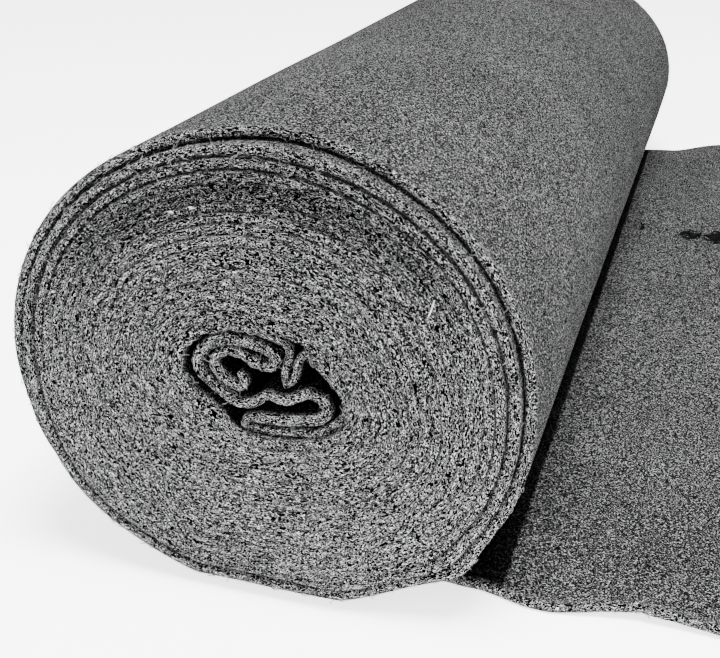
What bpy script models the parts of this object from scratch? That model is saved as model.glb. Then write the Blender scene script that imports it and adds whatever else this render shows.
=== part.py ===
"""A roll of protective fleece with its loose end pulled out flat on the floor.

The cloth is one length of thick grey needled felt, 1 m wide, wound on itself with no core.
Its first stretch is crumpled into folds in the hollow middle, and its last lap runs out from
under the roll as a flat sheet. All of it is one solid: the outer laps are real laps with a thin
gap between them, and the laps inside those are one wound body.

Metres, +Z up. +Y runs along the roll from its near end to its far end, and the loose end lies
towards +X. A section of the roll is drawn at its near end, round the point x = 0 on the floor,
and sags a little towards the far end.
"""

import math

import bmesh
import bpy
from mathutils import Vector

NAME = "fleece_roll"

# The cloth
WIDTH = 0.985
THICKNESS = 0.007
LAP_GAP = 0.0008
LAP_PITCH = THICKNESS + LAP_GAP

# The roll, seen from its end
LEFT_HALF_WIDTH = 0.1635
RIGHT_HALF_WIDTH = 0.1640
NEAR_HEIGHT = 0.3035
FAR_HEIGHT = 0.227
FAR_SHIFT = -0.009
FLAT_SPOT_SINK = 0.0075
SAG_FROM = 0.03
OUTER_LAPS = 3
SET_FORWARD_SHARE = 0.25
FACE_BULGE = 0.005
FOOT_FORWARD = 0.009

# The loose end
LOOSE_REACH = 0.360
LOOSE_COLUMNS = 12

# How finely the shape is cut
COLUMNS_PER_LAP = 60
STATIONS = (0.0, 0.06, 0.35, 0.65, 0.94, 1.0)
CORE_STATIONS = (0.0, 0.5, 1.0)
NEAR_RINGS = (0.08, 0.16, 0.24, 0.33, 0.48, 0.68, 0.86)
FAR_RINGS = (0.30, 0.65)

# Where the roll has slumped outwards: angle in degrees anticlockwise from +X, metres, spread in degrees
SLUMPS = (
    (-31, 0.0072, 23),
    (-142, -0.0055, 18),
)

# The upper part of the near face is hollowed a little below its rim
GROOVE_DEPTH = 0.008
GROOVE_FROM_RIM = 0.018
GROOVE_SPREAD = 0.012
MIDDLE_DISH = 0.004

# The hollow in the middle of the roll: angle in degrees anticlockwise from +X, radius in metres
HOLLOW_CENTRE = Vector((0.0, 0.151))
HOLLOW_OUTLINE = (
    (8, 0.0365),
    (27, 0.0320),
    (41, 0.0310),
    (56, 0.0274),
    (70, 0.0254),
    (86, 0.0262),
    (107, 0.0302),
    (130, 0.0366),
    (148, 0.0432),
    (166, 0.0474),
    (180, 0.0472),
    (194, 0.0425),
    (207, 0.0352),
    (231, 0.0318),
    (263, 0.0316),
    (289, 0.0332),
    (306, 0.0376),
    (320, 0.0442),
    (336, 0.0494),
    (348, 0.0478),
    (357, 0.0430),
)

# How far each place on the outer laps is set back from the near face: turns from the floor, metres
LAP_SETBACK = (
    (0.00, 0.055),
    (0.06, 0.040),
    (0.13, 0.016),
    (0.20, 0.007),
    (0.25, 0.004),
    (0.42, 0.004),
    (0.52, 0.017),
    (0.60, 0.012),
    (0.75, 0.010),
    (0.88, 0.006),
    (1.00, 0.002),
    (1.25, 0.001),
    (1.50, 0.002),
    (2.50, 0.002),
    (3.00, 0.000),
)

# The loose end's long edges: distance from the roll's middle, near edge, far edge, lift of each
LOOSE_EDGES = (
    (0.000, 0.049, 0.999, 0.000, 0.000),
    (0.075, 0.047, 0.990, 0.000, 0.000),
    (0.120, 0.041, 0.986, 0.000, 0.000),
    (0.165, 0.030, 0.992, 0.000, 0.001),
    (0.225, 0.037, 1.018, 0.005, 0.005),
    (0.290, 0.033, 1.020, 0.001, 0.003),
    (0.360, 0.031, 1.016, 0.000, 0.000),
)

# The crumpled start of the cloth, from its root in the wall of the hollow to its free end: x, z of
# its middle line, thickness
CORE_FOLDS = (
    (-0.0160, 0.1176, 0.0070),
    (-0.0090, 0.1214, 0.0070),
    (0.0000, 0.1238, 0.0070),
    (0.0107, 0.1246, 0.0070),
    (0.0231, 0.1262, 0.0070),
    (0.0330, 0.1282, 0.0070),
    (0.0393, 0.1338, 0.0068),
    (0.0368, 0.1409, 0.0068),
    (0.0287, 0.1445, 0.0065),
    (0.0218, 0.1419, 0.0065),
    (0.0148, 0.1382, 0.0064),
    (0.0087, 0.1384, 0.0060),
    (0.0032, 0.1402, 0.0054),
    (-0.0018, 0.1368, 0.0060),
    (-0.0085, 0.1330, 0.0062),
    (-0.0175, 0.1336, 0.0062),
    (-0.0256, 0.1389, 0.0065),
    (-0.0330, 0.1446, 0.0070),
    (-0.0386, 0.1498, 0.0075),
    (-0.0398, 0.1578, 0.0078),
    (-0.0350, 0.1662, 0.0078),
    (-0.0252, 0.1722, 0.0078),
    (-0.0139, 0.1732, 0.0076),
    (-0.0036, 0.1712, 0.0076),
    (0.0046, 0.1676, 0.0070),
    (0.0088, 0.1628, 0.0064),
    (0.0042, 0.1580, 0.0062),
    (-0.0054, 0.1606, 0.0062),
    (-0.0146, 0.1650, 0.0060),
    (-0.0230, 0.1648, 0.0060),
    (-0.0290, 0.1596, 0.0060),
    (-0.0294, 0.1534, 0.0064),
    (-0.0252, 0.1490, 0.0066),
    (-0.0198, 0.1446, 0.0062),
    (-0.0142, 0.1426, 0.0052),
    (-0.0112, 0.1474, 0.0058),
    (-0.0156, 0.1534, 0.0058),
)
CORE_COLUMNS = 96

# One more fold hangs from the hollow's upper right: x, z of its middle, thickness of both layers
HANGING_FOLD = (
    (0.0240, 0.1780, 0.0110),
    (0.0215, 0.1680, 0.0105),
    (0.0174, 0.1512, 0.0090),
)
HANGING_COLUMNS = 8
FOLD_SETBACK = 0.003
TIP_SHAPE = (1.0, 0.86, 0.45)

FELT_COLOUR = (0.115, 0.117, 0.118, 1.0)


def clear_scene():
    for old in list(bpy.data.objects):
        bpy.data.objects.remove(old)


def blend(table, at):
    """The rest of a table's row at a place in its first column, with smooth steps between rows."""
    if at <= table[0][0]:
        return table[0][1:]
    for low, high in zip(table, table[1:]):
        if at <= high[0]:
            share = (at - low[0]) / (high[0] - low[0])
            share = share * share * (3 - 2 * share)
            return tuple(a + (b - a) * share for a, b in zip(low[1:], high[1:]))
    return table[-1][1:]


def smooth_line(points, count):
    """Evenly numbered places on a Catmull-Rom curve through the points."""
    ends = [2 * points[0] - points[1], *points, 2 * points[-1] - points[-2]]
    line = []
    for step in range(count + 1):
        place = step / count * (len(points) - 1)
        first = min(int(place), len(points) - 2)
        t = place - first
        a, b, c, d = ends[first : first + 4]
        line.append(
            0.5 * (2 * b + (c - a) * t + (2 * a - 5 * b + 4 * c - d) * t * t)
            + 0.5 * (3 * b - a - 3 * c + d) * t * t * t
        )
    return line


def outer_outline(angle):
    """The roll's outer surface in section: flat where it stands, and slumped on both sides of that."""
    across, up = math.cos(angle), math.sin(angle)
    x = (RIGHT_HALF_WIDTH if across > 0 else LEFT_HALF_WIDTH) * across
    z = (NEAR_HEIGHT + FLAT_SPOT_SINK) * (1 + up) / 2 - FLAT_SPOT_SINK
    for middle, outward, spread in SLUMPS:
        degrees = (math.degrees(angle) - middle + 180) % 360 - 180
        x += outward * math.exp(-((degrees / spread) ** 2))
    return Vector((x, max(z, 0.0)))


def hollow_outline(angle):
    """The wall of the hollow in the middle of the roll."""
    degrees = math.degrees(angle) % 360
    first, last = HOLLOW_OUTLINE[0], HOLLOW_OUTLINE[-1]
    table = ((last[0] - 360, last[1]), *HOLLOW_OUTLINE, (first[0] + 360, first[1]))
    (radius,) = blend(table, degrees)
    return HOLLOW_CENTRE + radius * Vector((math.cos(angle), math.sin(angle)))


def lap_angle(turns):
    """The laps run clockwise from the bottom, seen from the near end."""
    return -math.pi / 2 - 2 * math.pi * turns


def lap_point(turns, depth):
    """A place in the wound cloth, at a depth below the roll's outer surface."""
    angle = lap_angle(turns)
    outer, hollow = outer_outline(angle), hollow_outline(angle)
    return outer.lerp(hollow, depth / (hollow - outer).length)


def sagged(point, along):
    """The section is lower towards the far end, but what lies on the floor stays there."""
    drop = (1 - FAR_HEIGHT / NEAR_HEIGHT) * along * (1 - math.exp(-max(0.0, point.y) / SAG_FROM))
    return Vector((point.x + FAR_SHIFT * along * point.y / NEAR_HEIGHT, point.y * (1 - drop)))


def near_bulge(point):
    """The near face bulges a little inside its rim, and its foot stands further forward."""
    across = (point.x / RIGHT_HALF_WIDTH) ** 2 + (2 * point.y / NEAR_HEIGHT - 1) ** 2
    foot = (1 - point.y / NEAR_HEIGHT) ** 2 * (0.65 + 0.35 * math.tanh(point.x / 0.05))
    return -FACE_BULGE * max(0.0, 1 - across) - FOOT_FORWARD * foot


def far_wave(point):
    """The far face is a little uneven."""
    return WIDTH + 0.004 * math.sin(11 * point.x + 17 * point.y)


def face_relief(point, rim, hollow):
    """How far the near face is hollowed at a point of the wound body."""
    from_rim = (point - rim).length
    upper = max(0.0, (point.y - 0.11) / (NEAR_HEIGHT - 0.11))
    groove = GROOVE_DEPTH * upper * math.exp(-(((from_rim - GROOVE_FROM_RIM) / GROOVE_SPREAD) ** 2))
    middle = (point - rim).length / (hollow - rim).length
    return groove + MIDDLE_DISH * middle**8


class Builder:
    """Collects the vertices and faces of one mesh."""

    def __init__(self):
        self.mesh = bmesh.new()

    def column(self, point, near, far, stations, lift=(0.0, 0.0)):
        """A row of vertices along the roll, through one place in its section."""
        row = []
        for along in stations:
            place = sagged(point, along)
            end_lift = lift[0] * max(0.0, 1 - along / 0.3) + lift[1] * max(0.0, 1 - (1 - along) / 0.3)
            y = near + (far - near) * along
            row.append(self.mesh.verts.new((place.x, y, place.y + end_lift)))
        return row

    def vertex(self, point, y, along):
        place = sagged(point, along)
        return self.mesh.verts.new((place.x, y, place.y))

    def face(self, *corners):
        self.mesh.faces.new(corners)

    def skin(self, first, second):
        """Faces between two neighbouring rows of vertices."""
        for k in range(len(first) - 1):
            self.face(first[k], first[k + 1], second[k + 1], second[k])

    def finish(self, name):
        bmesh.ops.recalc_face_normals(self.mesh, faces=self.mesh.faces)
        data = bpy.data.meshes.new(name)
        self.mesh.to_mesh(data)
        self.mesh.free()
        return bpy.data.objects.new(name, data)


def strip(build, columns):
    """A strip of cloth through (outer row, inner row) columns, with its two long edges."""
    for (outer_a, inner_a), (outer_b, inner_b) in zip(columns, columns[1:]):
        build.skin(outer_a, outer_b)
        build.skin(inner_a, inner_b)
        build.face(outer_a[0], outer_b[0], inner_b[0], inner_a[0])
        build.face(outer_a[-1], outer_b[-1], inner_b[-1], inner_a[-1])


def loose_end(build):
    """The flat sheet, from its cut end to where the outermost lap leaves the floor."""
    columns = []
    for i in range(LOOSE_COLUMNS):
        x = LOOSE_REACH * (1 - i / LOOSE_COLUMNS)
        near, far, near_lift, far_lift = blend(LOOSE_EDGES, x)
        low, high = Vector((x, 0.0)), Vector((x, THICKNESS))
        lift = (near_lift, far_lift)
        columns.append(
            (
                build.column(low, near, far, STATIONS, lift),
                build.column(high, near, far, STATIONS, lift),
            )
        )
    return columns


def outer_laps(build):
    """The laps that show as separate layers at the rim."""
    columns = []
    for i in range(OUTER_LAPS * COLUMNS_PER_LAP + 1):
        turns = i / COLUMNS_PER_LAP
        depth = LAP_PITCH * turns
        outer, inner = lap_point(turns, depth), lap_point(turns, depth + THICKNESS)
        (setback,) = blend(LAP_SETBACK, turns)
        near = near_bulge(outer) + setback
        far = far_wave(outer) + SET_FORWARD_SHARE * setback
        columns.append(
            (build.column(outer, near, far, STATIONS), build.column(inner, near, far, STATIONS))
        )
    return columns


def wound_body(build, joined):
    """Everything inside the outer laps. It starts and ends on their last column."""
    start = OUTER_LAPS * LAP_PITCH
    count = COLUMNS_PER_LAP
    angles = [j / count for j in range(count)]
    barrel = [joined[0]]
    for turns in angles[1:]:
        point = lap_point(turns, start + THICKNESS * turns)
        barrel.append(build.column(point, near_bulge(point), far_wave(point), STATIONS))
    barrel.append(joined[1])
    for first, second in zip(barrel, barrel[1:]):
        build.skin(first, second)

    hollows = [hollow_outline(lap_angle(turns)) for turns in angles]
    rims = [lap_point(t, start + THICKNESS * (1 + math.sin(math.pi * t))) for t in angles]
    walls = []
    for rim, hollow in zip(rims, hollows):
        near = near_bulge(hollow) + face_relief(hollow, rim, hollow)
        walls.append(build.column(hollow, near, far_wave(hollow), STATIONS))
    for j in range(count):
        build.skin(walls[j], walls[(j + 1) % count])

    for end, along, shares in ((0, 0.0, NEAR_RINGS), (-1, 1.0, FAR_RINGS)):
        rings = []
        for share in (0.0, *shares):
            ring = []
            for j, (rim, hollow) in enumerate(zip(rims, hollows)):
                point = rim.lerp(hollow, share)
                near = near_bulge(point) + face_relief(point, rim, hollow)
                y = near if end == 0 else far_wave(point)
                on_seam = share == 0.0 and j == 0
                ring.append(joined[1][end] if on_seam else build.vertex(point, y, along))
            rings.append(ring)
        rings.append([wall[end] for wall in walls])
        for j in range(count - 1):
            build.face(barrel[j][end], barrel[j + 1][end], rings[0][j + 1], rings[0][j])
        build.face(barrel[count - 1][end], rings[0][0], rings[0][count - 1])
        for outer, inner in zip(rings, rings[1:]):
            for j in range(count):
                after = (j + 1) % count
                build.face(outer[j], outer[after], inner[after], inner[j])


def wound_cloth():
    """The loose end, the outer laps and the wound body as one mesh."""
    build = Builder()
    columns = loose_end(build) + outer_laps(build)
    strip(build, columns)
    build.skin(*columns[0])
    wound_body(build, columns[-1])
    return build.finish(NAME)


def fold(name, rows, count):
    """A strip of cloth on edge in the hollow, along a middle line."""
    build = Builder()
    line = smooth_line([Vector(row) for row in rows], count)
    columns = []
    for i, (x, z, thickness) in enumerate(line):
        point = Vector((x, z))
        ahead, behind = line[min(i + 1, count)], line[max(i - 1, 0)]
        side = (ahead - behind).to_2d().orthogonal().normalized()
        half = thickness / 2 * TIP_SHAPE[max(0, i - count + 2)]
        near = near_bulge(point) + MIDDLE_DISH + FOLD_SETBACK
        far = far_wave(point) - FOLD_SETBACK
        columns.append(
            (
                build.column(point + side * half, near, far, CORE_STATIONS),
                build.column(point - side * half, near, far, CORE_STATIONS),
            )
        )
    strip(build, columns)
    build.skin(*columns[0])
    build.skin(*columns[-1])
    return build.finish(name)


def unite(whole, added):
    """Joins a fold to the wound cloth that it grows from."""
    join = whole.modifiers.new(added.name, "BOOLEAN")
    join.operation = "UNION"
    join.object = added
    added.hide_render = True
    added.display_type = "WIRE"


def felt_material():
    material = bpy.data.materials.new("grey_felt")
    material.use_nodes = True
    shader = material.node_tree.nodes["Principled BSDF"]
    shader.inputs["Base Color"].default_value = FELT_COLOUR
    shader.inputs["Roughness"].default_value = 0.95
    shader.inputs["Metallic"].default_value = 0.0
    material.diffuse_color = FELT_COLOUR
    return material


def centre_on_floor(objects, whole):
    """Moves the meshes so that the finished part's box stands centred on the origin."""
    corners = [vertex.co for vertex in whole.data.vertices]
    low = Vector([min(c[axis] for c in corners) for axis in range(3)])
    high = Vector([max(c[axis] for c in corners) for axis in range(3)])
    middle = Vector(((low.x + high.x) / 2, (low.y + high.y) / 2, low.z))
    for obj in objects:
        for vertex in obj.data.vertices:
            vertex.co -= middle


def main():
    clear_scene()
    parts = bpy.data.collections.new("roll_of_protective_fleece")
    helpers = bpy.data.collections.new("folds_to_join")
    bpy.context.scene.collection.children.link(parts)
    bpy.context.scene.collection.children.link(helpers)
    helpers.hide_render = True

    whole = wound_cloth()
    core = fold("core_folds", CORE_FOLDS, CORE_COLUMNS)
    hanging = fold("hanging_fold", HANGING_FOLD, HANGING_COLUMNS)
    parts.objects.link(whole)
    helpers.objects.link(core)
    helpers.objects.link(hanging)
    centre_on_floor((whole, core, hanging), whole)
    unite(whole, core)
    unite(whole, hanging)
    whole.data.materials.append(felt_material())
    whole.data.shade_smooth()
    whole.data.set_sharp_from_angle(angle=math.radians(40))


main()
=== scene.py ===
"""The looks of a roll of protective fleece with its loose end pulled out flat on the floor.

The cloth is one length of thick grey needled felt. It is drawn lap by lap: from the cut end on
the floor, under and round the roll eighteen times, and into the crumpled folds in its hollow
middle. Short fibres stand out from its cut edges.

Metres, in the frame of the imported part. A section of the roll is drawn round the point x = 0 on
the floor with its near end at y = 0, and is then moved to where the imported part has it.
"""

import math

import bmesh
import bpy
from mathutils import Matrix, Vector, noise


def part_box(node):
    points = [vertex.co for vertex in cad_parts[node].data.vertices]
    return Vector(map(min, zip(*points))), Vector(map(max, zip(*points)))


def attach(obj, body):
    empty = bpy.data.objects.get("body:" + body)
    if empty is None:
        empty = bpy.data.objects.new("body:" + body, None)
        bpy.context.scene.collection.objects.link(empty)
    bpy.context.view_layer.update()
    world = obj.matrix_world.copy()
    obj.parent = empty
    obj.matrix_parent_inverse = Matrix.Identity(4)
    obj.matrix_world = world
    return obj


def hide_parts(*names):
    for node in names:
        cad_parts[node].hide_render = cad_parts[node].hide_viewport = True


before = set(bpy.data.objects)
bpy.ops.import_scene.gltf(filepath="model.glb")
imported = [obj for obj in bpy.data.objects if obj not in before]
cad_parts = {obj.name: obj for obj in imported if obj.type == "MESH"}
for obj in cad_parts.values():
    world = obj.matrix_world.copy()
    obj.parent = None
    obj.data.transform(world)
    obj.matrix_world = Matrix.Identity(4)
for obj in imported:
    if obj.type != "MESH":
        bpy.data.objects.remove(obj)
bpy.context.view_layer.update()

PART = "fleece_roll"

# The cloth
WIDTH = 0.985
THICKNESS = 0.007
LAP_GAP = 0.0008
LAP_PITCH = THICKNESS + LAP_GAP

# The roll's section at its near end, flattened where it stands
LEFT_HALF_WIDTH = 0.1635
RIGHT_HALF_WIDTH = 0.1640
NEAR_HEIGHT = 0.3035
FLAT_SPOT_SINK = 0.0075

# Towards its far end it sags and leans to the left, from a little above the floor
FAR_HEIGHT = 0.227
FAR_SHIFT = -0.009
SAG_FROM = 0.03

# The near face bulges inside its rim, and its foot stands forward, more so on the right
FACE_BULGE = 0.005
FOOT_FORWARD = 0.009
FOOT_SHARES = (0.65, 0.35)
FOOT_TURN = 0.05

# The far face is uneven by as much as this
FAR_WAVE = 0.004

# Shallow dents in the roll: depth, size, stretch along it, and the heights where they set in
DENTS = 0.0016
DENT_SIZE = 0.16
DENT_STRETCH = 0.6
DENTS_FROM = 0.01
DENTS_RISE = 0.05
DENT_SEED = 5

# The laps: the outer three lie loose, the rest are wound tight and fill more of their pitch
LAPS = 18
OUTER_LAPS = 3
LOOSE_FILL = 0.88
TIGHT_FILL = 0.975
INNER_THICKNESS = 0.0048
WIDER_INSIDE = 0.08
LAP_WOBBLE = 0.0006

# After the last lap the cloth leaves the wall of the hollow: turns after it, and over how many turns
LEAVES_WALL_AFTER = 0.07
LEAVES_WALL_OVER = 0.08

# Steps along the laps, and the turns that are open to view
LAP_STEP = 0.0034
TURN_STEP = 0.001
SHOWS_UNTIL = 1.02

# The loose end: its reach from the roll's middle, and how its long edges waver
LOOSE_REACH = 0.360
LOOSE_STEP = 0.0045
NEAR_WAVE = 0.0012
FAR_EDGE_WAVE = 0.0015

# Places along the roll, as shares of the cloth's width: rows of vertices, cut edge, lifted edge
EDGE_SHARES = (0.0, 0.0022, 0.007, 0.03)
HIDDEN_SHARES = (0.35, 0.65)
OPEN_SHARES = tuple(i / 26 for i in range(2, 25))
CUT_SHARE = 0.006
LIFTED_SHARE = 0.3

# A cut edge's corners in loose cloth and in held cloth: how far rounded, how far set back
CORNER_ROUND = (0.30, 0.10)
CORNER_BACK = (0.0009, 0.0003)

# Where the roll has slumped outwards: degrees anticlockwise from +X, metres along X, spread in degrees
SLUMPS = (
    (-31, 0.0072, 23),
    (-142, -0.0055, 18),
)

# At the foot of the near face the laps bulge out over the loose end: middle, spread, reach,
# how much of that goes down, depth along the roll, and the heights where it sets in
LOBE_PLACE = Vector((0.118, 0.034))
LOBE_SPREAD = 0.022
LOBE_OUT = 0.010
LOBE_DOWN_SHARE = 0.3
LOBE_DEPTH = 0.035
LOBE_FROM = 0.008
LOBE_RISE = 0.012

# The upper part of the near face is hollowed a little below its rim
GROOVE_DEPTH = 0.008
GROOVE_ABOVE = 0.11
GROOVE_FROM_RIM = 0.018
GROOVE_SPREAD = 0.012
MIDDLE_DISH = 0.004

# The laps' cut edges stand in and out of the faces, and are rough
LAP_SET = 0.0009
LAP_SET_GROWS = 0.4
EDGE_ROUGHNESS = 0.0009

# The near face has painted shade: darker higher up, and again in a band below the rim, where the rim
# shades it
FACE_PAINTED_SHADE = 0.42
PAINTED_SHADE_ABOVE = 0.05
BAND_PAINTED_SHADE = 0.30
BAND_ABOVE = 0.16
BAND_RISE = 0.10
BAND_FROM_RIM = 0.012
BAND_SPREAD = 0.014

# The hollow in the middle of the roll: angle in degrees anticlockwise from +X, radius in metres
HOLLOW_CENTRE = Vector((0.0, 0.151))
HOLLOW_OUTLINE = (
    (8, 0.0365),
    (27, 0.0320),
    (41, 0.0310),
    (56, 0.0274),
    (70, 0.0254),
    (86, 0.0262),
    (107, 0.0302),
    (130, 0.0366),
    (148, 0.0432),
    (166, 0.0474),
    (180, 0.0472),
    (194, 0.0425),
    (207, 0.0352),
    (231, 0.0318),
    (263, 0.0316),
    (289, 0.0332),
    (306, 0.0376),
    (320, 0.0442),
    (336, 0.0494),
    (348, 0.0478),
    (357, 0.0430),
)

# How far each place on the outer laps is set back from the near face: turns from the floor, metres.
# Their far edges are set out by a share of it.
SET_FORWARD_SHARE = 0.25
LAP_SETBACK = (
    (0.00, 0.055),
    (0.06, 0.040),
    (0.13, 0.016),
    (0.20, 0.007),
    (0.25, 0.004),
    (0.42, 0.004),
    (0.52, 0.017),
    (0.60, 0.012),
    (0.75, 0.010),
    (0.88, 0.006),
    (1.00, 0.002),
    (1.25, 0.001),
    (1.50, 0.002),
    (2.50, 0.002),
    (3.00, 0.000),
)

# The loose end's long edges: distance from the roll's middle, near edge, far edge, lift of each
LOOSE_EDGES = (
    (0.000, 0.049, 0.999, 0.000, 0.000),
    (0.075, 0.047, 0.990, 0.000, 0.000),
    (0.120, 0.041, 0.986, 0.000, 0.000),
    (0.165, 0.030, 0.992, 0.000, 0.001),
    (0.225, 0.037, 1.018, 0.005, 0.005),
    (0.290, 0.033, 1.020, 0.001, 0.003),
    (0.360, 0.031, 1.016, 0.000, 0.000),
)

# The innermost lap stands off its round between these turns and hangs down in a pleat: x, z, thickness
PLEAT_FROM = 17.565
PLEAT_TO = 17.665
PLEAT = (
    (0.0132, 0.1764, 0.0052),
    (0.0164, 0.1726, 0.0050),
    (0.0166, 0.1672, 0.0048),
    (0.0150, 0.1608, 0.0048),
    (0.0134, 0.1550, 0.0046),
    (0.0138, 0.1508, 0.0042),
    (0.0167, 0.1492, 0.0038),
    (0.0190, 0.1522, 0.0044),
    (0.0206, 0.1572, 0.0046),
    (0.0214, 0.1624, 0.0048),
    (0.0236, 0.1674, 0.0050),
    (0.0286, 0.1696, 0.0052),
)

# The crumpled start of the cloth, from the end of the innermost lap to its free end: x, z, thickness
CORE_FOLDS = (
    (-0.0060, 0.1169, 0.0048),
    (-0.0106, 0.1180, 0.0048),
    (-0.0118, 0.1212, 0.0050),
    (-0.0076, 0.1240, 0.0056),
    (0.0000, 0.1246, 0.0066),
    (0.0107, 0.1246, 0.0070),
    (0.0231, 0.1262, 0.0070),
    (0.0330, 0.1282, 0.0070),
    (0.0393, 0.1338, 0.0068),
    (0.0368, 0.1409, 0.0068),
    (0.0287, 0.1445, 0.0065),
    (0.0218, 0.1419, 0.0065),
    (0.0148, 0.1382, 0.0064),
    (0.0087, 0.1384, 0.0060),
    (0.0032, 0.1402, 0.0054),
    (-0.0018, 0.1368, 0.0060),
    (-0.0085, 0.1330, 0.0062),
    (-0.0175, 0.1336, 0.0062),
    (-0.0256, 0.1389, 0.0065),
    (-0.0330, 0.1446, 0.0070),
    (-0.0386, 0.1498, 0.0075),
    (-0.0398, 0.1578, 0.0078),
    (-0.0350, 0.1662, 0.0078),
    (-0.0252, 0.1722, 0.0078),
    (-0.0139, 0.1732, 0.0076),
    (-0.0036, 0.1712, 0.0076),
    (0.0046, 0.1676, 0.0070),
    (0.0088, 0.1628, 0.0064),
    (0.0042, 0.1580, 0.0062),
    (-0.0054, 0.1606, 0.0062),
    (-0.0146, 0.1650, 0.0060),
    (-0.0230, 0.1648, 0.0060),
    (-0.0290, 0.1596, 0.0060),
    (-0.0294, 0.1534, 0.0064),
    (-0.0252, 0.1490, 0.0066),
    (-0.0198, 0.1446, 0.0062),
    (-0.0142, 0.1426, 0.0052),
    (-0.0112, 0.1474, 0.0058),
    (-0.0156, 0.1534, 0.0058),
)

# The line through the innermost lap and the folds: first turn, steps, and how far its edges are set in
PATH_FROM = 17.42
PATH_STEP = 0.0015
FINE_STEPS = 12
FOLD_SETBACK = 0.003
SETBACK_GROWS = 0.05

# The felt's shades: place in the speckle, linear grey
CUT_SHADES = ((0.0, 0.0001), (0.40, 0.0003), (0.475, 0.012), (0.545, 0.27), (1.0, 1.0))
CLOTH_SHADES = ((0.0, 0.0008), (0.28, 0.0042), (0.50, 0.0100), (0.68, 0.018), (1.0, 0.18))

# The felt's patterns, per metre: worms, streaks along the laid cloth, fine grain, clouds
WORM_SCALE = 900.0
STREAK_SCALES = (350.0, 900.0, 6.2)
GRAIN_SCALE = 940.0
CLOUD_SCALE = 9.0
WORM_SHARE = 0.42
STREAK_SHARE = 0.58

# Darker bits in the cloth: scale, the range that they take from the noise, and their grey
DARK_BITS = ((330.0, 0.30, 0.39, 0.12), (120.0, 0.27, 0.32, 0.25))

# The cloth's tufts are coarser near its near edge: distances from the edge, and strength there
TUFTS_FROM = 0.03
TUFTS_UNTIL = 0.45
TUFTS = 0.75

# The cloth is dark with shade under the roll and inside it: distance along the cloth from its cut end
UNDER_ROLL = (0.2185, 0.46)
UNDER_SHADE = 0.09
INSIDE_ROLL = 4.0
INSIDE_SHADE = 0.85

# Painted shade in the gaps between the laps, at their inner side, is strong as far as this along the
# cloth
GAP_SHADE_UNTIL = 3.0
GAP_SHADE_STRENGTHS = (0.85, 0.25)

# A dark mark across the loose end: middle and half-size of each blotch
MARK_BLOTCHES = (
    (Vector((0.2085, 0.702, 0.0)), (0.0110, 0.0130)),
    (Vector((0.2365, 0.700, 0.0)), (0.0140, 0.0165)),
    (Vector((0.1585, 0.712, 0.0)), (0.0026, 0.0100)),
)
MARK_GREY = (0.001, 0.001, 0.001, 1.0)

# Loose fibres on the cut edges, and their grey
FIBRE_GREY = 0.10
FACE_FIBRES = {
    "Fibres per square metre on the face": 35000.0,
    "Fibres per square metre elsewhere": 0.0,
    "Length": 0.0034,
    "Thickness": 0.00022,
    "Seed": 3,
}

# Light threads on the near face: start, middle and end as x and z, half thickness
STRAY_THREADS = (
    ((0.1016, 0.2135), (0.1005, 0.2085), (0.0988, 0.2035), 0.0006),
    ((-0.0545, 0.2474), (-0.0520, 0.2482), (-0.0500, 0.2474), 0.0010),
    ((-0.0396, 0.2522), (-0.0378, 0.2512), (-0.0360, 0.2516), 0.0010),
)
THREAD_OFF_FACE = 0.0015
THREAD_GREY = 0.4
NEAR_END = 0.03
ALL_CUT = 0.99

# The floor and the light: each light's name, place, what it points at, size and power
FLOOR_HALF = 6.0
FLOOR_GREYS = ((0.3, 0.93), (0.7, 0.96))
FLOOR_GLOW = 2.5
SKY = 0.65
WHITE = (1.0, 1.0, 1.0, 1.0)
LIGHTS = (
    ("overhead", (0.45, -0.35, 2.6), (0.05, 0.3, 0.0), 1.3, 350),
    ("front_left", (-1.1, -2.6, 1.8), (0.0, 0.2, 0.1), 2.4, 150),
    ("right", (2.4, 0.5, 0.45), (0.1, 0.5, 0.1), 1.0, 45),
)

# The camera, from the drawing's own origin
CAMERA_PLACE = Vector((0.253, -0.656, 0.507))
CAMERA_YAW = -16.4
CAMERA_PITCH = 24.8
CAMERA_LENS = 67.95


def drawing_origin():
    """Where the drawing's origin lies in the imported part's frame."""
    low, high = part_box(PART)
    far_reach = max(far for _, _, far, _, _ in LOOSE_EDGES)
    return Vector((high[0] - LOOSE_REACH, high[1] - far_reach, low[2]))


ORIGIN = drawing_origin()


def blend(table, at):
    """The rest of a table's row at a place in its first column, with smooth steps between rows."""
    if at <= table[0][0]:
        return table[0][1:]
    for low, high in zip(table, table[1:]):
        if at <= high[0]:
            share = smooth_step((at - low[0]) / (high[0] - low[0]))
            return tuple(a + (b - a) * share for a, b in zip(low[1:], high[1:]))
    return table[-1][1:]


def smooth_step(share):
    """A share from 0 to 1 with soft ends."""
    share = min(1.0, max(0.0, share))
    return share * share * (3 - 2 * share)


def smooth_line(points, step):
    """Evenly spaced places on a Catmull-Rom curve through the points."""
    ends = [2 * points[0] - points[1], *points, 2 * points[-1] - points[-2]]
    fine = []
    for a, b, c, d in zip(ends, ends[1:], ends[2:], ends[3:]):
        for i in range(FINE_STEPS):
            t = i / FINE_STEPS
            fine.append(
                0.5 * (2 * b + (c - a) * t + (2 * a - 5 * b + 4 * c - d) * t * t)
                + 0.5 * (3 * b - a - 3 * c + d) * t * t * t
            )
    fine.append(points[-1])
    line, over = [fine[0]], 0.0
    for start, end in zip(fine, fine[1:]):
        length = (end - start).length
        while over + length >= step:
            start = start.lerp(end, (step - over) / length)
            line.append(start)
            length, over = (end - start).length, 0.0
        over += length
    return line


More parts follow.
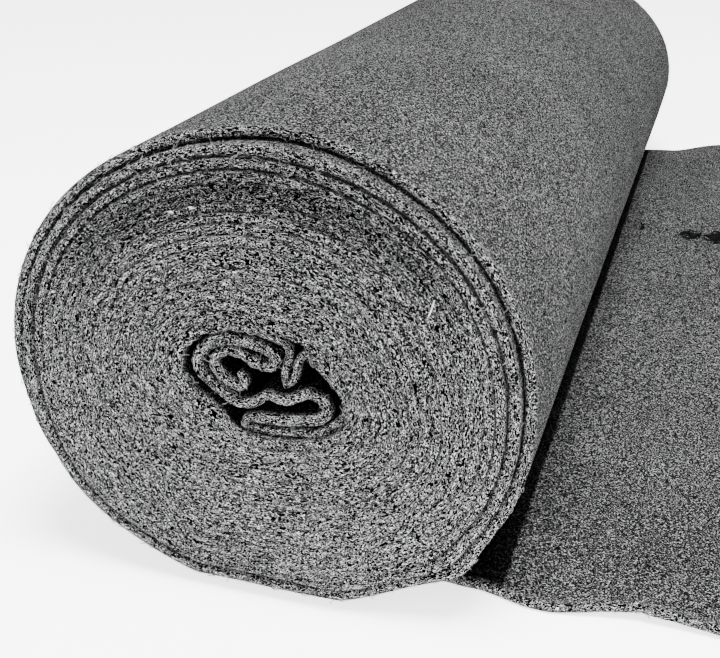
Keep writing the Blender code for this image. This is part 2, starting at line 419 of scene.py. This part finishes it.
def outer_outline(angle):
    """The roll's outer surface in section: flat where it stands, and slumped on both sides of that."""
    across, up = math.cos(angle), math.sin(angle)
    x = (RIGHT_HALF_WIDTH if across > 0 else LEFT_HALF_WIDTH) * across
    z = (NEAR_HEIGHT + FLAT_SPOT_SINK) * (1 + up) / 2 - FLAT_SPOT_SINK
    for middle, shift, spread in SLUMPS:
        degrees = (math.degrees(angle) - middle + 180) % 360 - 180
        x += shift * math.exp(-((degrees / spread) ** 2))
    return Vector((x, max(z, 0.0)))


def hollow_outline(angle):
    """The wall of the hollow in the middle of the roll."""
    degrees = math.degrees(angle) % 360
    first, last = HOLLOW_OUTLINE[0], HOLLOW_OUTLINE[-1]
    table = ((last[0] - 360, last[1]), *HOLLOW_OUTLINE, (first[0] + 360, first[1]))
    (radius,) = blend(table, degrees)
    return HOLLOW_CENTRE + radius * Vector((math.cos(angle), math.sin(angle)))


def lap_angle(turns):
    """The laps run clockwise from the bottom, seen from the near end."""
    return -math.pi / 2 - 2 * math.pi * turns


def lap_depth(turns):
    """How deep the outer side of the cloth lies below the roll's outline."""
    angle = lap_angle(turns)
    whole = (hollow_outline(angle) - outer_outline(angle)).length
    start = OUTER_LAPS * LAP_PITCH
    wobble = LAP_WOBBLE * noise.noise(Vector((2.3 * turns, 0.5, 4.0)))
    if turns <= OUTER_LAPS:
        return LAP_PITCH * turns + wobble * turns / OUTER_LAPS
    if turns > LAPS:
        off_wall = smooth_step((turns - LAPS - LEAVES_WALL_AFTER) / LEAVES_WALL_OVER)
        return whole - INNER_THICKNESS * (1 - off_wall)
    share = (turns - OUTER_LAPS) / (LAPS - OUTER_LAPS)
    share *= 1 - WIDER_INSIDE * (1 - share)
    return start + (whole - INNER_THICKNESS - start) * share + wobble * min(1.0, LAPS - turns)


def lap_point(turns, depth):
    """A place on the way from the roll's outline to the wall of the hollow."""
    angle = lap_angle(turns)
    outer, hollow = outer_outline(angle), hollow_outline(angle)
    return outer.lerp(hollow, depth / (hollow - outer).length)


def lap_sides(turns):
    """The outer and inner side of the cloth, where it lies in a lap."""
    outside, next_lap = lap_depth(turns), lap_depth(turns + 1)
    fill = LOOSE_FILL + (TIGHT_FILL - LOOSE_FILL) * smooth_step(turns - OUTER_LAPS + 1)
    inside = outside + (next_lap - outside) * fill
    return lap_point(turns, outside), lap_point(turns, inside)


def near_bulge(point):
    """The near face bulges a little inside its rim, and its foot stands further forward."""
    across = (point.x / RIGHT_HALF_WIDTH) ** 2 + (2 * point.y / NEAR_HEIGHT - 1) ** 2
    even, right = FOOT_SHARES
    foot = (1 - point.y / NEAR_HEIGHT) ** 2 * (even + right * math.tanh(point.x / FOOT_TURN))
    return -FACE_BULGE * max(0.0, 1 - across) - FOOT_FORWARD * foot


def far_wave(point):
    """The far face is a little uneven."""
    return WIDTH + FAR_WAVE * math.sin(11 * point.x + 17 * point.y)


def face_relief(turns, point):
    """How far the near face is hollowed inside the outer laps."""
    from_rim = max(0.0, lap_depth(turns) - OUTER_LAPS * LAP_PITCH)
    upper = max(0.0, (point.y - GROOVE_ABOVE) / (NEAR_HEIGHT - GROOVE_ABOVE))
    groove = GROOVE_DEPTH * upper * math.exp(-(((from_rim - GROOVE_FROM_RIM) / GROOVE_SPREAD) ** 2))
    return groove + MIDDLE_DISH * (min(turns, LAPS) / LAPS) ** 12


def painted_face_shade(point):
    """How much painted shade darkens the cut faces at a place: more higher up and in the band below the
    rim.
    """
    angle = math.atan2(point.y - HOLLOW_CENTRE.y, point.x)
    outer = outer_outline(angle)
    from_rim = max(0.0, (outer - HOLLOW_CENTRE).length - (point - HOLLOW_CENTRE).length)
    from_rim -= OUTER_LAPS * LAP_PITCH
    upper = min(1.0, max(0.0, (point.y - PAINTED_SHADE_ABOVE) / (NEAR_HEIGHT - PAINTED_SHADE_ABOVE)))
    in_band = math.exp(-(((from_rim - BAND_FROM_RIM) / BAND_SPREAD) ** 2))
    band = smooth_step((point.y - BAND_ABOVE) / BAND_RISE) * in_band
    return FACE_PAINTED_SHADE * upper + BAND_PAINTED_SHADE * band


def lap_edges(turns, point):
    """Where the near and far cut edges of a lap lie along the roll."""
    in_or_out = LAP_SET * noise.noise(Vector((1.7 * turns, 9.0, 1.0)))
    in_or_out *= smooth_step(turns / LAP_SET_GROWS)
    if turns < OUTER_LAPS:
        (setback,) = blend(LAP_SETBACK, turns)
        far = far_wave(point) + SET_FORWARD_SHARE * setback
        return near_bulge(point) + setback + in_or_out, far
    settled = near_bulge(point) + face_relief(turns, point)
    return settled + in_or_out, far_wave(point) - in_or_out


def sagged(x, y, z):
    """The roll is lower towards the far end, slightly dented, and bulges at its near foot.

    What lies on the floor stays there.
    """
    along = y / WIDTH
    off_floor = 1 - math.exp(-max(0.0, z) / SAG_FROM)
    drop = (1 - FAR_HEIGHT / NEAR_HEIGHT) * along * off_floor
    dent = DENTS * off_floor * noise.noise_vector(Vector((x, DENT_STRETCH * y, z)) / DENT_SIZE)
    dent *= smooth_step((z - DENTS_FROM) / DENTS_RISE)
    off_lobe = (Vector((x, z)) - LOBE_PLACE).length / LOBE_SPREAD
    lobe = LOBE_OUT * math.exp(-off_lobe * off_lobe) * math.exp(-((y / LOBE_DEPTH) ** 2))
    lobe *= smooth_step((z - LOBE_FROM) / LOBE_RISE)
    return Vector(
        (
            x + FAR_SHIFT * along * z / NEAR_HEIGHT + dent.x + lobe,
            y,
            z * (1 - drop) + dent.z - LOBE_DOWN_SHARE * lobe,
        )
    )


def in_scene(name, data):
    """A new object, put in the scene."""
    made = bpy.data.objects.new(name, data)
    bpy.context.scene.collection.objects.link(made)
    return made


def face_outwards(data):
    """Turns the faces of a closed mesh outwards."""
    mesh = bmesh.new()
    mesh.from_mesh(data)
    bmesh.ops.recalc_face_normals(mesh, faces=mesh.faces)
    mesh.to_mesh(data)
    mesh.free()


class ClothMesh:
    """Collects the cloth's vertices, faces and what its felt needs to know at each vertex."""

    def __init__(self):
        self.places = []
        self.cut = []
        self.dark = []
        self.lying = []
        self.faces = []

    def vertex(self, point, y, cut, lying, lift=0.0):
        place = sagged(point.x, y, point.y)
        place.z = max(0.0, place.z + lift)
        self.places.append(place + ORIGIN)
        self.cut.append(cut)
        # Painted shade for the cut faces at this vertex
        self.dark.append(painted_face_shade(point))
        self.lying.append(lying)
        return len(self.places) - 1

    def column(self, outer, inner, near, far, length, shares, packed=0.0, lift=(0.0, 0.0)):
        """The cloth's whole outline at one place along its length: a ring of vertices.

        Packed says how firmly its neighbours hold it, from 0 to 1: held cloth has squarer edges.
        """
        corner_round = CORNER_ROUND[0] + (CORNER_ROUND[1] - CORNER_ROUND[0]) * packed
        corner_back = CORNER_BACK[0] + (CORNER_BACK[1] - CORNER_BACK[0]) * packed
        middle = (outer + inner) / 2
        rough = EDGE_ROUGHNESS * noise.noise(Vector((length * 140, near * 90, 2.0)))
        rows = []
        for side, through in ((outer, 1.0), (inner, 0.0)):
            row = []
            for share in shares:
                at_edge = share in (0.0, 1.0)
                point = side.lerp(middle, corner_round) if at_edge else side
                y = near + (far - near) * share
                if at_edge:
                    y += corner_back if share == 0.0 else -corner_back
                cut = 1.0 - smooth_step(min(share, 1 - share) / CUT_SHARE)
                raised = lift[0] * max(0.0, 1 - share / LIFTED_SHARE)
                raised += lift[1] * max(0.0, 1 - (1 - share) / LIFTED_SHARE)
                row.append((share, self.vertex(point, y, cut, (length, y, through), raised)))
            rows.append(row)
        caps = [
            self.vertex(middle, near + rough, 1.0, (length, near, 0.5), lift[0]),
            self.vertex(middle, far - rough, 1.0, (length, far, 0.5), lift[1]),
        ]
        return rows[0], rows[1], caps

    def between(self, first, second):
        """Faces between two rows that may have different numbers of vertices."""
        i = j = 0
        while i < len(first) - 1 or j < len(second) - 1:
            next_i = first[i + 1][0] if i < len(first) - 1 else math.inf
            next_j = second[j + 1][0] if j < len(second) - 1 else math.inf
            a, b = first[i][1], second[j][1]
            if next_i == next_j:
                i, j = i + 1, j + 1
                self.faces.append((a, first[i][1], second[j][1], b))
            elif next_i < next_j:
                i += 1
                self.faces.append((a, first[i][1], b))
            else:
                j += 1
                self.faces.append((a, second[j][1], b))

    def join(self, one, other):
        """Closes the cloth between two columns."""
        for k in (0, 1):
            self.between(one[k], other[k])
        for end in (0, -1):
            for k in (0, 1):
                row_a, row_b = one[k][end][1], other[k][end][1]
                self.faces.append((row_a, row_b, other[2][end], one[2][end]))

    def close(self, column):
        """Closes a cut end of the cloth."""
        outer, inner, caps = column
        for (_, a), (_, b), (_, c), (_, d) in zip(outer, outer[1:], inner[1:], inner):
            self.faces.append((a, b, c, d))
        self.faces.append((outer[0][1], caps[0], inner[0][1]))
        self.faces.append((outer[-1][1], inner[-1][1], caps[1]))

    def finish(self, name):
        data = bpy.data.meshes.new(name)
        data.from_pydata(self.places, [], self.faces)
        cut = data.attributes.new("cut_edge", "FLOAT", "POINT")
        cut.data.foreach_set("value", self.cut)
        # Painted shade for the cut faces, per vertex
        dark = data.attributes.new("painted_shade_share", "FLOAT", "POINT")
        dark.data.foreach_set("value", self.dark)
        lying = data.attributes.new("cloth_place", "FLOAT_VECTOR", "POINT")
        lying.data.foreach_set("vector", [x for place in self.lying for x in place])
        face_outwards(data)
        data.shade_smooth()
        return in_scene(name, data)


def mirrored(shares):
    return (*shares, *(1 - share for share in reversed(shares)))


def all_shares(middle):
    edges = mirrored(EDGE_SHARES)
    half = len(EDGE_SHARES)
    return (*edges[:half], *middle, *edges[half:])


def loose_columns(cloth, length):
    """The flat loose end, from its cut end to where the outermost lap leaves the floor."""
    columns = []
    count = round(LOOSE_REACH / LOOSE_STEP)
    for i in range(count):
        x = LOOSE_REACH * (1 - i / count)
        near, far, near_lift, far_lift = blend(LOOSE_EDGES, x)
        near += NEAR_WAVE * noise.noise(Vector((x * 60, 0.0, 5.0)))
        far += FAR_EDGE_WAVE * noise.noise(Vector((x * 40, 3.0, 5.0)))
        low, high = Vector((x, 0.0)), Vector((x, THICKNESS))
        columns.append(
            cloth.column(
                low, high, near, far, length, all_shares(OPEN_SHARES), lift=(near_lift, far_lift)
            )
        )
        length += LOOSE_REACH / count
    return columns, length


def lap_columns(cloth, length):
    """The laps, as far as where the innermost one starts to fold."""
    columns, turns = [], 0.0
    while turns < PATH_FROM:
        outer, inner = lap_sides(turns)
        near, far = lap_edges(turns, outer)
        shares = all_shares(OPEN_SHARES if turns < SHOWS_UNTIL else HIDDEN_SHARES)
        packed = smooth_step(turns - OUTER_LAPS + 1)
        columns.append(cloth.column(outer, inner, near, far, length, shares, packed))
        ahead = lap_sides(turns + TURN_STEP)[0]
        turns += TURN_STEP * LAP_STEP / (ahead - outer).length
        length += LAP_STEP
    return columns, length


def folded_line():
    """The innermost lap, its pleat and the crumpled folds after it: middle line and thickness."""
    points = []
    turns = PATH_FROM
    while turns < LAPS:
        if turns < PLEAT_FROM or turns > PLEAT_TO:
            outer, inner = lap_sides(turns)
            points.append(((outer + inner) / 2).to_3d() + Vector((0, 0, (inner - outer).length)))
        elif points[-1] != Vector(PLEAT[-1]):
            points.extend(Vector(row) for row in PLEAT)
        turns += 0.03
    points.extend(Vector(row) for row in CORE_FOLDS)
    return smooth_line(points, PATH_STEP)


def fold_columns(cloth, length):
    """The crumpled folds, as far as the cloth's free end, where it thins out."""
    columns = []
    line = folded_line()
    last = len(line) - 1
    for i, (x, z, thickness) in enumerate(line):
        point = Vector((x, z))
        ahead, behind = line[min(i + 1, last)], line[max(i - 1, 0)]
        side = (ahead - behind).to_2d().orthogonal().normalized()
        half = thickness / 2 * min(1.0, 0.45 + 0.2 * (last - i))
        depth = FOLD_SETBACK * (1 + noise.noise(Vector((i * 0.03, 1.0, 8.0))))
        settled = smooth_step(i * PATH_STEP / SETBACK_GROWS)
        near = near_bulge(point) + MIDDLE_DISH + depth * settled
        far = far_wave(point) - depth * settled
        outer, inner = point + side * half, point - side * half
        columns.append(cloth.column(outer, inner, near, far, length, all_shares(HIDDEN_SHARES)))
        length += PATH_STEP
    return columns, length


def wound_fleece():
    """The whole cloth as one piece, and its length."""
    noise.seed_set(DENT_SEED)
    cloth = ClothMesh()
    columns, length = loose_columns(cloth, 0.0)
    laps, length = lap_columns(cloth, length)
    folds, length = fold_columns(cloth, length)
    columns += laps + folds
    for one, other in zip(columns, columns[1:]):
        cloth.join(one, other)
    cloth.close(columns[0])
    cloth.close(columns[-1])
    return cloth.finish("wound_fleece"), length


def add_node(tree, kind, inputs, settings):
    """A new node with its settings, and with a value or a link for each input."""
    made = tree.nodes.new(kind)
    for name, value in settings.items():
        setattr(made, name, value)
    for key, value in dict(inputs).items():
        if isinstance(value, bpy.types.NodeSocket):
            tree.links.new(value, made.inputs[key])
        else:
            made.inputs[key].default_value = value
    return made


class Finish:
    """Builds a material's node tree with short calls."""

    def __init__(self, name):
        self.material = bpy.data.materials.new(name)
        self.material.use_nodes = True
        self.tree = self.material.node_tree
        self.shader = self.tree.nodes["Principled BSDF"]

    def node(self, kind, inputs=(), **settings):
        return add_node(self.tree, kind, inputs, settings)

    def read(self, name, output):
        """What the mesh says at each place under a name."""
        return self.node("ShaderNodeAttribute", attribute_name=name).outputs[output]

    def matt(self, colour, roughness):
        """Gives the material its colour, without any shine."""
        self.tree.links.new(colour, self.shader.inputs["Base Color"])
        self.shader.inputs["Roughness"].default_value = roughness
        self.shader.inputs["Specular IOR Level"].default_value = 0.0

    def sum(self, kind, a, b):
        """Two numbers added, subtracted, multiplied or the like."""
        return self.node("ShaderNodeMath", {0: a, 1: b}, operation=kind).outputs[0]

    def ranged(self, value, low, high, to_low=0.0, to_high=1.0):
        """A value between low and high brought to a new range, and held there outside it."""
        inputs = {"Value": value, 1: low, 2: high, 3: to_low, 4: to_high}
        return self.node("ShaderNodeMapRange", inputs).outputs[0]

    def mixed(self, share, first, second, kind="MIX"):
        made = self.node("ShaderNodeMix", data_type="RGBA", blend_type=kind)
        sockets = {s.identifier: s for s in made.inputs}
        for key, value in (
            ("Factor_Float", share),
            ("A_Color", first),
            ("B_Color", second),
        ):
            if isinstance(value, bpy.types.NodeSocket):
                self.tree.links.new(value, sockets[key])
            else:
                sockets[key].default_value = value
        return next(s for s in made.outputs if s.identifier == "Result_Color")

    def shades(self, value, stops):
        """A ramp of greys: place, grey."""
        ramp = self.node("ShaderNodeValToRGB", {0: value})
        points = ramp.color_ramp.elements
        while len(points) < len(stops):
            points.new(0.5)
        for point, (place, grey) in zip(points, stops):
            point.position = place
            point.color = (grey, grey * 1.005, grey * 1.01, 1.0)
        return ramp.outputs[0]

    def scaled(self, colour, share):
        """A colour made lighter or darker by a number."""
        grey = self.node("ShaderNodeCombineColor", {0: share, 1: share, 2: share}).outputs[0]
        return self.mixed(1.0, colour, grey, "MULTIPLY")

    def speckle(self, places, scale, detail, roughness, twist=0.0):
        """A noise in space from 0 to 1."""
        inputs = {
            "Vector": places,
            "Scale": scale,
            "Detail": detail,
            "Roughness": roughness,
            "Distortion": twist,
        }
        return self.node("ShaderNodeTexNoise", inputs).outputs[0]


def felt_finish():
    """Grey needled felt: worm-like light and dark fibres, coarser on a cut edge."""
    felt = Finish("grey_felt")
    where = felt.node("ShaderNodeTexCoord").outputs["Object"]
    cut = felt.read("cut_edge", "Fac")
    lying = felt.read("cloth_place", "Vector")
    along, from_face, through = felt.node("ShaderNodeSeparateXYZ", {0: lying}).outputs

    worms = ridge(felt, felt.speckle(where, WORM_SCALE, 0.6, 0.5, 0.6))
    laid = felt.node("ShaderNodeMapping", {"Vector": lying, "Scale": STREAK_SCALES}).outputs[0]
    streaks = ridge(felt, felt.speckle(laid, 1.0, 0.6, 0.5, 0.5))
    worms = felt.sum("MULTIPLY", worms, WORM_SHARE)
    coarse = felt.sum("ADD", worms, felt.sum("MULTIPLY", streaks, STREAK_SHARE))
    fine = felt.ranged(felt.speckle(where, GRAIN_SCALE, 1.4, 0.6, 0.6), 0.36, 0.64)

    cut_colour = cut_edge_colour(felt, coarse, where, along, through)
    cloth_colour = surface_colour(felt, coarse, fine, where, along, from_face)
    colour = felt.mixed(cut, cloth_colour, cut_colour)
    clouds = felt.ranged(felt.speckle(where, CLOUD_SCALE, 3.0, 0.5), 0.3, 0.7, 0.84, 1.12)
    colour = marked(felt, where, along, felt.scaled(colour, clouds))
    felt.matt(colour, 0.95)

    height = felt.node("ShaderNodeMix", {0: cut, 2: fine, 3: coarse}).outputs[0]
    inputs = {"Height": height, "Strength": 0.5, "Distance": 0.0011}
    bump = felt.node("ShaderNodeBump", inputs).outputs[0]
    felt.tree.links.new(bump, felt.shader.inputs["Normal"])
    return felt.material


def cut_edge_colour(felt, coarse, where, along, through):
    """Coarse light and dark fibres, with painted shade where the mesh gives it, and painted shade in
    the gap beside each lap.
    """
    colour = felt.shades(coarse, CUT_SHADES)
    # Painted shade on the near face, as the mesh gives it
    colour = felt.scaled(colour, felt.sum("SUBTRACT", 1.0, felt.read("painted_shade_share", "Fac")))
    height = felt.node("ShaderNodeSeparateXYZ", {0: where}).outputs["Z"]
    # Painted shade in the gap at each lap's inner side, stronger higher up the face
    strength = felt.ranged(along, GAP_SHADE_UNTIL, GAP_SHADE_UNTIL + 0.3, *GAP_SHADE_STRENGTHS)
    strength = felt.sum("MULTIPLY", strength, felt.ranged(height, 0.10, 0.20, 0.3, 1.0))
    gap_shade = felt.sum("MULTIPLY", felt.ranged(through, 0.05, 0.16, 1.0, 0.0), strength)
    return felt.scaled(colour, felt.sum("SUBTRACT", 1.0, gap_shade))


def surface_colour(felt, coarse, fine, where, along, from_face):
    """A fine grain with coarser tufts near the near face, with painted shade under the roll and inside
    it.
    """
    colour = felt.shades(fine, CLOTH_SHADES)
    near_end = felt.ranged(from_face, TUFTS_FROM, TUFTS_UNTIL, TUFTS, 0.0)
    tufts = felt.sum("MULTIPLY", near_end, felt.ranged(coarse, 0.0, 1.0, -0.85, 2.4))
    colour = felt.scaled(colour, felt.sum("ADD", 1.0, tufts))
    # Painted shade where the cloth lies under the roll, and deep inside the roll
    under = felt.ranged(along, UNDER_ROLL[0], UNDER_ROLL[0] + 0.002, 1.0, UNDER_SHADE)
    out_again = felt.ranged(along, UNDER_ROLL[1], UNDER_ROLL[1] + 0.002)
    inside = felt.ranged(along, INSIDE_ROLL, INSIDE_ROLL + 0.5, 0.0, INSIDE_SHADE)
    outer_lap = felt.sum("SUBTRACT", out_again, inside)
    colour = felt.scaled(colour, felt.sum("MAXIMUM", under, outer_lap))
    for scale, low, high, darkest in DARK_BITS:
        bits = felt.ranged(felt.speckle(where, scale, 2.0, 0.5, 0.7), low, high, darkest, 1.0)
        colour = felt.scaled(colour, bits)
    return colour


def ridge(felt, value):
    """Thin light worms where a noise crosses its middle value."""
    off_middle = felt.sum("ABSOLUTE", felt.sum("SUBTRACT", value, 0.5), 0.0)
    return felt.ranged(off_middle, 0.0, 0.083, 1.0, 0.0)


def marked(felt, where, along, colour):
    """The colour with a dark mark's ragged blotches on it, on the loose end only."""
    wobble = felt.speckle(where, 170.0, 2.0, 0.6)
    beyond = felt.ranged(along, LOOSE_REACH - 0.02, LOOSE_REACH, 0.0, 2.0)
    for middle, (half_x, half_y) in MARK_BLOTCHES:
        from_middle = {0: where, 1: tuple(ORIGIN + middle)}
        moved = felt.node("ShaderNodeVectorMath", from_middle, operation="SUBTRACT").outputs[0]
        parts = felt.node("ShaderNodeSeparateXYZ", {0: moved}).outputs
        right = felt.sum("DIVIDE", parts["X"], half_x)
        back = felt.sum("DIVIDE", parts["Y"], half_y)
        far = felt.sum("ADD", felt.sum("POWER", right, 2.0), felt.sum("POWER", back, 2.0))
        far = felt.sum("ADD", far, felt.ranged(wobble, 0.3, 0.7, -0.8, 1.0))
        far = felt.sum("ADD", far, beyond)
        colour = felt.mixed(felt.ranged(far, 0.8, 1.2, 0.94, 0.0), colour, MARK_GREY)
    return colour


def fibre_finish(name, grey):
    """One loose fibre: a matt thread whose shade changes a little from fibre to fibre."""
    fibre = Finish(name)
    where = fibre.node("ShaderNodeTexCoord").outputs["Object"]
    patches = fibre.speckle(where, 260.0, 1.0, 0.5)
    colour = fibre.shades(patches, ((0.3, grey * 0.35), (0.5, grey), (0.7, min(1.0, grey * 1.7))))
    fibre.matt(colour, 0.9)
    return fibre.material


def fibre_tree(material):
    """Nodes that scatter short bent fibres over a cloth, thickest on its cut edges."""
    tree = bpy.data.node_groups.new("loose_fibres", "GeometryNodeTree")
    face = tree.interface
    face.new_socket("Cloth", in_out="INPUT", socket_type="NodeSocketGeometry")
    for name, size in FACE_FIBRES.items():
        kind = "NodeSocketInt" if isinstance(size, int) else "NodeSocketFloat"
        face.new_socket(name, in_out="INPUT", socket_type=kind)
    face.new_socket("Fibres", in_out="OUTPUT", socket_type="NodeSocketGeometry")

    def add(kind, inputs=(), **settings):
        return add_node(tree, kind, inputs, settings)

    given = add("NodeGroupInput").outputs
    cut = add("GeometryNodeInputNamedAttribute", {"Name": "cut_edge"}, data_type="FLOAT").outputs[0]
    density = add("ShaderNodeMapRange", {"Value": cut, 1: 0.0, 2: 1.0, 3: given[2], 4: given[1]})
    place = add("GeometryNodeInputPosition").outputs[0]
    up = add("ShaderNodeSeparateXYZ", {0: place}).outputs["Z"]
    off_floor = add("ShaderNodeMapRange", {"Value": up, 1: 0.004, 2: 0.006})
    density = add(
        "ShaderNodeMath", {0: density.outputs[0], 1: off_floor.outputs[0]}, operation="MULTIPLY"
    )
    points = add(
        "GeometryNodeDistributePointsOnFaces",
        {"Mesh": given["Cloth"], "Density": density.outputs[0], "Seed": given["Seed"]},
    )
    bend = add(
        "GeometryNodeCurveQuadraticBezier",
        {"Resolution": 3, "Start": (0, 0, -0.02), "Middle": (0.45, 0.25, 0.22), "End": (1, -0.1, 0.12)},
    )
    round_section = add("GeometryNodeCurvePrimitiveCircle", {"Resolution": 3, "Radius": 1.0})
    share = add("ShaderNodeMath", {0: given["Thickness"], 1: given["Length"]}, operation="DIVIDE")
    thin = add("ShaderNodeCombineXYZ", {0: share.outputs[0], 1: share.outputs[0], 2: 1.0})
    section = add(
        "GeometryNodeTransform", {"Geometry": round_section.outputs[0], "Scale": thin.outputs[0]}
    )
    fibre = add(
        "GeometryNodeCurveToMesh",
        {"Curve": bend.outputs[0], "Profile Curve": section.outputs[0], "Fill Caps": True},
    )
    spin = add(
        "FunctionNodeRandomValue",
        {"Min": (0, 0, 0), "Max": (0, 0, 2 * math.pi), "Seed": given["Seed"]},
        data_type="FLOAT_VECTOR",
    )
    turned = add(
        "FunctionNodeRotateRotation",
        {"Rotation": points.outputs["Rotation"], "Rotate By": spin.outputs[0]},
        rotation_space="LOCAL",
    )
    least = add("ShaderNodeMath", {0: given["Length"], 1: 0.5}, operation="MULTIPLY")
    most = add("ShaderNodeMath", {0: given["Length"], 1: 1.5}, operation="MULTIPLY")
    size = add(
        "FunctionNodeRandomValue",
        {2: least.outputs[0], 3: most.outputs[0], "Seed": given["Seed"]},
        data_type="FLOAT",
    )
    copies = add(
        "GeometryNodeInstanceOnPoints",
        {
            "Points": points.outputs["Points"],
            "Instance": fibre.outputs[0],
            "Rotation": turned.outputs[0],
            "Scale": size.outputs[1],
        },
    )
    real = add("GeometryNodeRealizeInstances", {0: copies.outputs[0]})
    coloured = add("GeometryNodeSetMaterial", {"Geometry": real.outputs[0], "Material": material})
    add("NodeGroupOutput", {"Fibres": coloured.outputs[0]})
    return tree


def loose_fibres(name, cloth, material, sizes):
    """A plain mesh of fibres that stand out from the cloth."""
    carrier = in_scene(name + "_carrier", cloth.data.copy())
    scatter = carrier.modifiers.new("fibres", "NODES")
    scatter.node_group = fibre_tree(material)
    for item in scatter.node_group.interface.items_tree:
        if item.in_out == "INPUT" and item.name in sizes:
            scatter[item.identifier] = sizes[item.name]
    graph = bpy.context.evaluated_depsgraph_get()
    mesh = bpy.data.meshes.new_from_object(carrier.evaluated_get(graph))
    bpy.data.objects.remove(carrier)
    return in_scene(name, mesh)


def stray_threads(cloth):
    """A few light threads caught on the near face."""
    places, faces = [], []
    cut = cloth.data.attributes["cut_edge"].data
    corners = zip(cloth.data.vertices, cut)
    near_end = ORIGIN.y + NEAR_END
    front = [v.co for v, edge in corners if edge.value > ALL_CUT and v.co.y < near_end]
    for start, middle, end, half in STRAY_THREADS:
        first = len(places)
        for x, z in (start, middle, end):
            on_face = ORIGIN + Vector((x, 0.0, z))
            y = min(front, key=lambda place: (place.xz - on_face.xz).length).y
            for corner in range(3):
                turn = 2 * math.pi * corner / 3
                ring = half * Vector((math.cos(turn), math.sin(turn), 0.4 * math.cos(turn)))
                places.append(Vector((on_face.x, y - THREAD_OFF_FACE, on_face.z)) + ring)
        for i in (0, 3):
            for corner in range(3):
                a, b = first + i + corner, first + i + (corner + 1) % 3
                faces.append((a, b, b + 3, a + 3))
        faces.append((first, first + 2, first + 1))
        faces.append((first + 6, first + 7, first + 8))
    data = bpy.data.meshes.new("stray_threads")
    data.from_pydata(places, [], faces)
    face_outwards(data)
    return in_scene("stray_threads", data)


def pale_floor():
    """A wide pale floor, lit a little from below so that shadows on it stay soft."""
    data = bpy.data.meshes.new("floor")
    half = FLOOR_HALF
    corners = [(-half, -half, 0.0), (half, -half, 0.0), (half, half, 0.0), (-half, half, 0.0)]
    data.from_pydata(corners, [], [(0, 1, 2, 3)])
    floor = in_scene("floor", data)
    paper = Finish("pale_paper")
    where = paper.node("ShaderNodeTexCoord").outputs["Object"]
    paper.matt(paper.shades(paper.speckle(where, 3.0, 2.0, 0.5), FLOOR_GREYS), 1.0)
    paper.shader.inputs["Emission Color"].default_value = WHITE
    paper.shader.inputs["Emission Strength"].default_value = FLOOR_GLOW
    data.materials.append(paper.material)


def soft_light(name, place, target, size, power):
    """A round lamp that points at a place; both are measured from the drawing's origin."""
    data = bpy.data.lights.new(name, "AREA")
    data.shape = "DISK"
    data.size = size
    data.energy = power
    light = in_scene(name, data)
    light.location = ORIGIN + Vector(place)
    aim = ORIGIN + Vector(target) - light.location
    light.rotation_euler = aim.to_track_quat("-Z", "Y").to_euler()


def studio():
    """Pale surroundings, a strong light overhead, a weaker front left and a weak one at the right."""
    world = bpy.data.worlds.new("studio")
    world.use_nodes = True
    bpy.context.scene.world = world
    sky = world.node_tree.nodes["Background"]
    sky.inputs["Color"].default_value = WHITE
    sky.inputs["Strength"].default_value = SKY
    for light in LIGHTS:
        soft_light(*light)


def camera():
    data = bpy.data.cameras.new("camera")
    data.lens = CAMERA_LENS
    seen = in_scene("camera", data)
    yaw, pitch = math.radians(CAMERA_YAW), math.radians(CAMERA_PITCH)
    aim = Vector(
        (math.sin(yaw) * math.cos(pitch), math.cos(yaw) * math.cos(pitch), -math.sin(pitch))
    )
    seen.location = ORIGIN + CAMERA_PLACE
    seen.rotation_euler = aim.to_track_quat("-Z", "Y").to_euler()
    bpy.context.scene.camera = seen


def main():
    camera()
    studio()
    pale_floor()

    fleece, length = wound_fleece()
    fleece.data.materials.append(felt_finish())
    light_fibre = fibre_finish("light_fibre", FIBRE_GREY)
    fibres = loose_fibres("face_fibres", fleece, light_fibre, FACE_FIBRES)
    threads = stray_threads(fleece)
    threads.data.materials.append(fibre_finish("pale_thread", THREAD_GREY))
    for piece in (fleece, fibres, threads):
        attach(piece, "root")
    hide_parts(PART)


main()
